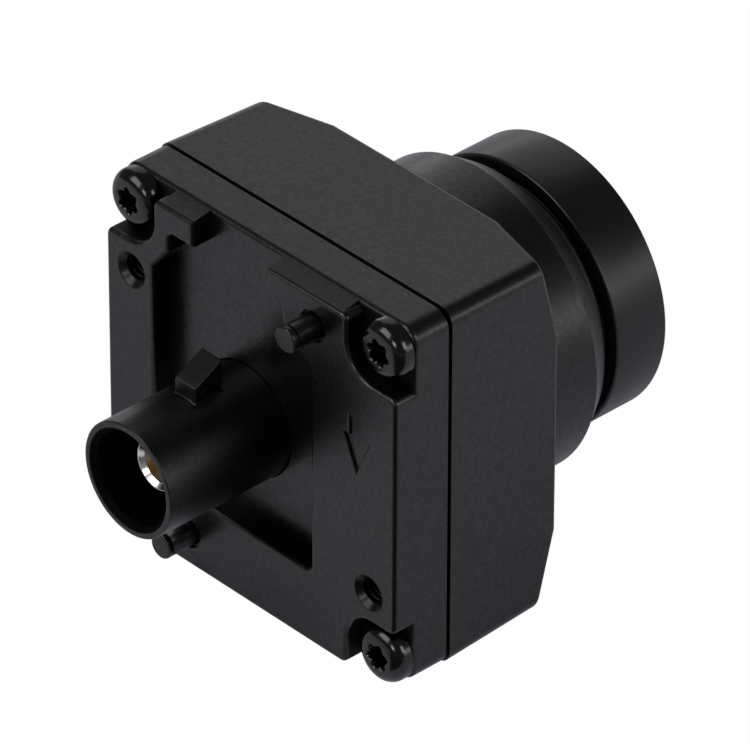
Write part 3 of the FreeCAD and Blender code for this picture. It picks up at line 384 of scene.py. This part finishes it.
def flat_corners(shape):
    """Flat cuts at the housing's four front corners, each joined into one plane face."""
    least_tilt, most_tilt = 0.1, 0.985
    for side in (-1, 1):
        for rise in (-1, 1):
            cut = []
            for face in shape.faces:
                place = middle_mm(face)
                beyond = place.x * side + place.z * rise > CUT_START
                if beyond and place.y > CUT_LOWEST_Y and least_tilt < face.normal.y < most_tilt:
                    cut.append(face)
            joined = bmesh.ops.dissolve_faces(shape, faces=cut, use_verts=True)["region"]
            for vertex in (vertex for face in joined for vertex in face.verts):
                beyond = abs(vertex.co.x) + abs(vertex.co.z) - CUT_START * MM
                vertex.co.y = FRONT_FACE_Y * MM - CUT_SLOPE * beyond


def in_bore(face):
    """True for the faces inside the connector's tube."""
    place = middle_mm(face)
    low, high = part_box("centre_contact")
    out = math.hypot(place.x - (low[0] + high[0]) / (2 * MM), place.z - (low[2] + high[2]) / (2 * MM))
    return out < TUBE_BORE_REACH and place.y > TUBE_END_Y


def in_pocket(face):
    """True for the walls and floors of the four screw pockets."""
    place = middle_mm(face)
    out = max(abs(abs(place.x) - SCREW_OUT), abs(abs(place.z) - SCREW_OUT))
    return out < POCKET_HALF and POCKET_RIM_Y < place.y < POCKET_FLOOR_Y


def from_post(vertex, post):
    """Arm of a point from a post's axis, in millimetres."""
    return Vector((vertex.co.x / MM - post[0], vertex.co.z / MM - post[1]))


def on_post(vertex, post):
    """True for a point of a post that stands out of the cover's rear face."""
    return from_post(vertex, post).length < POST_REACH and vertex.co.y < POST_BASE_Y * MM


def post_grooves(shape):
    """Groove round each post, near its end."""
    rear_lip, rear_floor, front_floor, front_lip = -2.20, -2.17, -2.07, -2.04
    groove_radius, tip_radius, margin = 0.87, 0.5, 0.01
    for post in POSTS:
        for level in (rear_lip, rear_floor, front_floor, front_lip):
            wall = [face for face in shape.faces if all(on_post(vertex, post) for vertex in face.verts)]
            edges = list(dict.fromkeys(edge for face in wall for edge in face.edges))
            points = list(dict.fromkeys(vertex for face in wall for vertex in face.verts))
            bmesh.ops.bisect_plane(
                shape, geom=wall + edges + points, plane_co=(0, level * MM, 0), plane_no=(0, 1, 0))
        for vertex in shape.verts:
            arm = from_post(vertex, post)
            on_floor = rear_floor - margin < vertex.co.y / MM < front_floor + margin
            if on_floor and tip_radius < arm.length < POST_REACH:
                arm *= groove_radius / arm.length
                vertex.co.x = (post[0] + arm.x) * MM
                vertex.co.z = (post[1] + arm.y) * MM


def block_ends(shape):
    """Sloped tops of the two upper blocks, carried on to the blocks' inner ends."""
    for start, end in BLOCK_ENDS:
        for vertex in shape.verts:
            place = vertex.co / MM
            if abs(place.x - start) < ON_PLANE and place.y > BLOCK_TOP_Y and place.z > BLOCK_TOP_Z:
                vertex.co.x = end * MM
    weld(shape)


def cover_details(shape):
    """What the cover gets before its edges are rounded."""
    block_ends(shape)
    post_grooves(shape)


def rounded_profile(corners, steps=6):
    """Closed line of radius and y through corners given as radius, y and rounding."""
    line = []
    for index, (radius, y, rounding) in enumerate(corners):
        here = Vector((radius, y))
        before = (Vector(corners[index - 1][:2]) - here).normalized()
        after = (Vector(corners[(index + 1) % len(corners)][:2]) - here).normalized()
        half = before.angle(after) / 2
        centre = here + (before + after).normalized() * (rounding / math.sin(half))
        start = here + before * (rounding / math.tan(half)) - centre
        end = here + after * (rounding / math.tan(half)) - centre
        turn = start.angle(end)
        for step in range(steps + 1):
            share = step / steps
            arm = (start * math.sin((1 - share) * turn) + end * math.sin(share * turn)) / math.sin(turn)
            line.append(centre + arm)
    return line


def turned_mesh(name, line, segments=192):
    """Mesh of a closed line of radius and y, in millimetres, turned about the lens axis."""
    shape = bmesh.new()
    rows = []
    for index in range(segments):
        angle = index / segments * math.tau
        across, upward = math.cos(angle), math.sin(angle)
        rows.append([shape.verts.new((p.x * across * MM, p.y * MM, p.x * upward * MM)) for p in line])
    for index in range(segments):
        row, after = rows[index], rows[(index + 1) % segments]
        for step in range(len(line)):
            nearby = (step + 1) % len(line)
            shape.faces.new((row[step], row[nearby], after[nearby], after[step])).smooth = True
    bmesh.ops.recalc_face_normals(shape, faces=shape.faces)
    return mesh_from(shape, name)


def lens_ring():
    """Front ring of the lens, with rounded rims and a sloped lip. Each corner is a radius, y and rounding."""
    mesh = turned_mesh("lens_ring_finished", rounded_profile([
        (9.55, 25.46, 0.06), (10.77, 25.46, 0.22), (10.77, 30.36, 0.22),
        (8.5, 30.36, 0.08), (7.6, 28.85, 0.04), (9.55, 28.85, 0.04)]))
    stand_in(mesh, "lens_ring")


def lens_seal():
    """Round rubber ring between lens holder and lens ring, of the size of its solid."""
    low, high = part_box("lens_seal")
    half = (high[1] - low[1]) / (2 * MM)
    out = (high[0] - low[0]) / (2 * MM) - half
    level = (low[1] + high[1]) / (2 * MM)
    steps = 32
    turns = [step / steps * math.tau for step in range(steps)]
    line = [Vector((out + half * math.cos(turn), level + half * math.sin(turn))) for turn in turns]
    stand_in(turned_mesh("lens_seal_finished", line), "lens_seal")


# Geometry Nodes for what repeats
def made_by(name, inputs, build):
    """Plain mesh of a Geometry Nodes tree whose named inputs are given as a socket type and a value."""
    tree = bpy.data.node_groups.new(name, "GeometryNodeTree")
    layout = Nodes(tree)
    tree.interface.new_socket("Geometry", in_out="OUTPUT", socket_type="NodeSocketGeometry")
    sockets = {label: tree.interface.new_socket(label, in_out="INPUT", socket_type=f"NodeSocket{kind}")
               for label, (kind, _) in inputs.items()}
    source = tree.nodes.new("NodeGroupInput")
    result = build(layout, {label: Value(layout, source.outputs[label]) for label in inputs})
    whole = layout.node("GeometryNodeRealizeInstances", {}, {"Geometry": result})
    coated = layout.node("GeometryNodeSetMaterial", {}, {
        "Geometry": whole, "Material": Value(layout, source.outputs["Finish"])})
    tree.links.new(coated.socket, tree.nodes.new("NodeGroupOutput").inputs[0])
    holder = placed(name, bpy.data.meshes.new("start"))
    modifier = holder.modifiers.new(name, "NODES")
    modifier.node_group = tree
    for label, (_, value) in inputs.items():
        modifier[sockets[label].identifier] = value
    mesh = bpy.data.meshes.new_from_object(holder.evaluated_get(bpy.context.evaluated_depsgraph_get()))
    bpy.data.objects.remove(holder)
    mesh.name = name
    return mesh


def screw_mesh(name):
    """One pan-head screw along Y, its bearing face at zero and its head towards -Y, with a six-lobe recess.

    Each row is a ring of points: its radius, its y and how far the lobes move it out and in.
    """
    segments, lobes, lobe_mm = 120, 6, 0.14
    shank_end, recess_floor = 9.0, -0.25
    recess_rim, recess_bottom = 0.92, 0.88
    dome_steps, dome_out, dome_start = 10, 1.22, -0.5
    crease = math.radians(40)
    rows = [
        (0.55, shank_end, 0), (1.1, 8.45, 0), (1.1, 0.05, 0),
        (1.15, 0.0, 0), (2.16, 0.0, 0), (2.22, -0.06, 0)]
    for step in range(dome_steps + 1):
        turn = step / dome_steps * math.pi / 2
        rows.append((dome_out + math.cos(turn), dome_start - math.sin(turn), 0))
    rows += [
        (recess_rim + 0.1, -1.5, lobe_mm), (recess_rim, -1.41, lobe_mm),
        (recess_bottom, -0.38, lobe_mm), (recess_bottom - 0.05, -0.3, 0.12)]
    shape = bmesh.new()
    rings = []
    for radius, y, lobe in rows:
        ring = []
        for index in range(segments):
            angle = index / segments * math.tau
            out = (radius + lobe * math.cos(lobes * angle)) * MM
            ring.append(shape.verts.new((out * math.cos(angle), y * MM, out * math.sin(angle))))
        rings.append(ring)
    for ring, following in zip(rings, rings[1:]):
        for index in range(segments):
            nearby = (index + 1) % segments
            shape.faces.new((ring[index], ring[nearby], following[nearby], following[index]))
    for ring, y in ((rings[0], shank_end), (rings[-1], recess_floor)):
        point = shape.verts.new((0, y * MM, 0))
        for index in range(segments):
            shape.faces.new((ring[index], ring[(index + 1) % segments], point))
    bmesh.ops.recalc_face_normals(shape, faces=shape.faces)
    for face in shape.faces:
        face.smooth = True
    for edge in shape.edges:
        edge.smooth = edge.calc_face_angle(0.0) < crease
    return mesh_from(shape, name)


def cover_screws():
    """Four screws in the cover's corner pockets, each with its own turn."""
    pattern = bpy.data.objects.new("screw", screw_mesh("screw"))

    def build(layout, sizes):
        corners = layout.node("GeometryNodeMeshGrid", {}, {
            "Size X": sizes["Spacing"], "Size Y": sizes["Spacing"], "Vertices X": 2, "Vertices Y": 2})
        lifted = layout.node("ShaderNodeCombineXYZ", {}, {"Y": sizes["Level"]})
        upright = layout.node("GeometryNodeTransform", {}, {
            "Geometry": corners, "Translation": lifted, "Rotation": (math.pi / 2, 0, 0)})
        turn = layout.node("FunctionNodeRandomValue", {"data_type": "FLOAT_VECTOR"}, {
            0: (0, -math.pi, 0), 1: (0, math.pi, 0), "Seed": sizes["Seed"]})
        screw = layout.node("GeometryNodeObjectInfo", {}, {"Object": sizes["Screw"]}, output="Geometry")
        return layout.node("GeometryNodeInstanceOnPoints", {}, {
            "Points": upright, "Instance": screw, "Rotation": turn})

    mesh = made_by("cover_screws_finished", {
        "Screw": ("Object", pattern), "Spacing": ("Float", 2 * SCREW_OUT * MM),
        "Level": ("Float", SCREW_SEAT_Y * MM), "Seed": ("Int", 4),
        "Finish": ("Material", FINISHES["screw_black"])}, build)
    bpy.data.objects.remove(pattern)
    stand_in(mesh, "cover_screws")


def mouth_mesh(name):
    """Countersunk mouth and wall of a tapped hole along Y, its rim at zero."""
    wall, outside, sink, depth = HOLE_WALL_RADIUS, 1.2, 0.5, 3.5
    corners = (
        (1.475, -0.002), (1.46, 0.0), (1.43, 0.012), (1.40, 0.035), (1.37, 0.062), (1.0, 0.43), (0.975, 0.46),
        (wall, sink), (wall, depth), (outside, depth), (outside, sink), (1.475, 0.06))
    return turned_mesh(name, [Vector(corner) for corner in corners], 96)


def mount_mouths():
    """Countersunk mouths and thread ridges of the two tapped mounting holes, in a darker black that paints
    the shade inside the holes.
    """
    thread_start = 0.6
    pattern = bpy.data.objects.new("mouth", mouth_mesh("mouth"))

    def build(layout, sizes):
        ends = layout.node("GeometryNodeMeshLine", {"mode": "END_POINTS"}, {
            "Count": 2, "Start Location": sizes["First Hole"], "Offset": sizes["Second Hole"]})
        helix = layout.node("GeometryNodeCurveSpiral", {}, {
            "Resolution": 40, "Rotations": sizes["Turns"], "Start Radius": sizes["Radius"],
            "End Radius": sizes["Radius"], "Height": sizes["Depth"]})
        section = layout.node("GeometryNodeCurvePrimitiveCircle", {}, {
            "Resolution": 3, "Radius": sizes["Ridge"]})
        ridge = layout.node("GeometryNodeCurveToMesh", {}, {
            "Curve": helix, "Profile Curve": section, "Fill Caps": True})
        lowered = layout.node("GeometryNodeTransform", {}, {
            "Geometry": ridge, "Translation": (0, thread_start * MM, 0), "Rotation": (-math.pi / 2, 0, 0)})
        mouth = layout.node("GeometryNodeObjectInfo", {}, {"Object": sizes["Mouth"]}, output="Geometry")
        whole = layout.node("GeometryNodeJoinGeometry", {}, {"Geometry": mouth})
        layout.tree.links.new(lowered.socket, whole.socket.node.inputs[0])
        return layout.node("GeometryNodeInstanceOnPoints", {}, {"Points": ends, "Instance": whole})

    mesh = made_by("mount_mouths", {
        "Mouth": ("Object", pattern), "First Hole": ("Vector", (HOLE_X * MM, 0, HOLE_Z * MM)),
        "Second Hole": ("Vector", (-HOLE_X * MM, 0, -HOLE_Z * MM)),
        "Radius": ("Float", HOLE_WALL_RADIUS * MM), "Turns": ("Float", 6.0), "Depth": ("Float", 2.7 * MM),
        "Ridge": ("Float", 0.08 * MM), "Finish": ("Material", MOUTH_SHADE_BLACK)}, build)
    bpy.data.objects.remove(pattern)
    piece = placed(mesh.name, mesh)
    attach(piece, "root")


finished("front_housing", 0.3, housing_edge, crease=15, reshape=flat_corners)
# The cover's screw pockets get painted shade, a darker black.
finished("rear_cover", 0.18, arrow_rim, shade_mask=in_pocket, reshape=cover_details)
# The connector's bore gets painted shade, a near-black.
finished("connector_shroud", 0.12, shade_mask=in_bore, shade_finish=TUBE_SHADE_BLACK)
for small_node, edge_mm in (
        ("outer_contact", 0.04), ("contact_insulator", 0.05), ("centre_contact", 0.04),
        ("lens_barrel", 0.08), ("front_lens", 0.05)):
    finished(small_node, edge_mm)
lens_ring()
lens_seal()
cover_screws()
mount_mouths()

# The solids themselves, which show wherever no piece stands for them
for node, thing in frame["nodes"].items():
    if thing.data.materials:
        thing.data.materials.clear()
    thing.data.materials.append(FINISHES[SLOT_OF[node]])


# Floor, light and camera
FLOOR_RADIUS = 2.5
FLOOR_GAP, CARD_LIFT = 0.05 * MM, 0.2 * MM
LAMP_DISTANCE = 0.6
WORLD_STRENGTH = 0.12


def white_floor(level):
    """Large pale floor that shows white behind the object and keeps its shadow.

    The camera sees it nearly as pure white. In mirrors it is dim and cool, and through glass brighter.
    """
    white_share, mirror_share, glass_share = 0.985, 0.18, 0.6
    shape = bmesh.new()
    bmesh.ops.create_circle(shape, cap_ends=True, segments=96, radius=FLOOR_RADIUS)
    mesh = mesh_from(shape, "floor")
    mesh.transform(Matrix.Translation((0, 0, level)))
    finish = Finish("floor_white", Roughness=0.9, Specular_IOR_Level=0.0)
    paper = finish.noise(0.5, 2.0)
    finish.feed("Base Color", finish.mix(paper, (0.80, 0.80, 0.80), (0.84, 0.84, 0.84)))
    seen, mirrored, through = (finish.node("ShaderNodeLightPath", output=f"Is {ray} Ray")
                               for ray in ("Camera", "Glossy", "Transmission"))
    white, cool = (finish.node("ShaderNodeEmission", {}, {"Color": (*tint, 1), "Strength": 1.0})
                   for tint in ((1, 1, 1), (0.92, 0.90, 1.18)))
    paper_look = Value(finish, finish.shader.outputs[0])
    reflected = mirrored.math("MAXIMUM", mirrored * mirror_share, through * glass_share)
    blend = finish.node("ShaderNodeMixShader", {}, {0: reflected, 1: paper_look, 2: cool})
    blend = finish.node("ShaderNodeMixShader", {}, {0: seen * white_share, 1: blend, 2: white})
    finish.tree.links.new(blend.socket, finish.tree.nodes["Material Output"].inputs["Surface"])
    mesh.materials.append(finish.material)
    floor = placed("floor", mesh)


def dark_card(level):
    """Black card on the floor to the right of the rear face. It darkens the edges that mirror it."""
    left, right, near, far = 0.013, 0.3, -0.3, -0.0015
    shape = bmesh.new()
    corners = [shape.verts.new(corner) for corner in (
        (left, near, level), (right, near, level), (right, far, level), (left, far, level))]
    shape.faces.new(corners)
    mesh = mesh_from(shape, "dark_card")
    mesh.materials.append(plain_finish("card_black", (0.1, 0.1, 0.1), 0.9, 0.0, 1.0, 0.01))
    card = placed("dark_card", mesh)
    card.visible_camera = False
    card.visible_shadow = False


def softbox(name, direction, width, height, brightness):
    """Area lamp that faces the object. Brightness 1 looks white in a mirror."""
    lamp = bpy.data.lights.new(name, "AREA")
    lamp.shape = "RECTANGLE"
    lamp.size = width
    lamp.size_y = height
    lamp.energy = math.pi * width * height * brightness
    aim = Vector(direction).normalized()
    facing = aim.to_track_quat("Z", "Y").to_matrix().to_4x4()
    placed(name, lamp).matrix_world = Matrix.Translation(aim * LAMP_DISTANCE) @ facing


def studio_light():
    """Even pale surroundings and six lamps. Each lamp is given by direction, width, height and brightness."""
    world = bpy.data.worlds.new("studio")
    world.use_nodes = True
    background = world.node_tree.nodes["Background"]
    background.inputs["Color"].default_value = (1, 1, 1, 1)
    background.inputs["Strength"].default_value = WORLD_STRENGTH
    bpy.context.scene.world = world
    softbox("back_left_box", (-0.61, 0.57, 0.52), 0.5, 0.5, 0.56)
    softbox("back_low_box", (-0.77, 0.60, 0.14), 0.36, 0.1, 1.0)
    softbox("rear_box", (-0.25, -0.68, 0.69), 0.4, 0.4, 3.3)
    softbox("near_box", (0.40, -0.80, 0.42), 0.14, 0.14, 8.0)
    softbox("right_box", (0.88, 0.20, 0.42), 0.22, 0.24, 4.2)
    softbox("right_low_box", (0.78, 0.60, 0.17), 0.5, 0.16, 2.0)


def photo_camera():
    """Camera of the photo: its view direction, roll, distance and offset."""
    azimuth, elevation, roll = 0.8212, 0.6012, 0.0028
    distance, shift_right, shift_up = 632.3255, 4.9246, 1.8763
    target = Vector((0.0, 5.3, 0.0))
    back = Vector((math.sin(azimuth) * math.cos(elevation), -math.cos(azimuth) * math.cos(elevation),
                   math.sin(elevation)))
    level = Vector((math.cos(azimuth), math.sin(azimuth), 0.0))
    upright = back.cross(level)
    right = level * math.cos(roll) + upright * math.sin(roll)
    up = upright * math.cos(roll) - level * math.sin(roll)
    place = (back * distance + right * shift_right + up * shift_up + target) * MM
    lens = bpy.data.cameras.new("photo_camera")
    lens.sensor_width = 36.0
    lens.lens = 431.33
    lens.clip_start = 0.01
    lens.clip_end = 20.0
    camera = placed("photo_camera", lens)
    camera.matrix_world = Matrix((
        (right.x, up.x, back.x, place.x), (right.y, up.y, back.y, place.y), (right.z, up.z, back.z, place.z),
        (0, 0, 0, 1)))
    bpy.context.scene.camera = camera


lowest = min(corner[2] for corner in cad_box)
white_floor(lowest - FLOOR_GAP)
dark_card(lowest + CARD_LIFT)
studio_light()
photo_camera()
bpy.context.scene.view_settings.view_transform = "Standard"
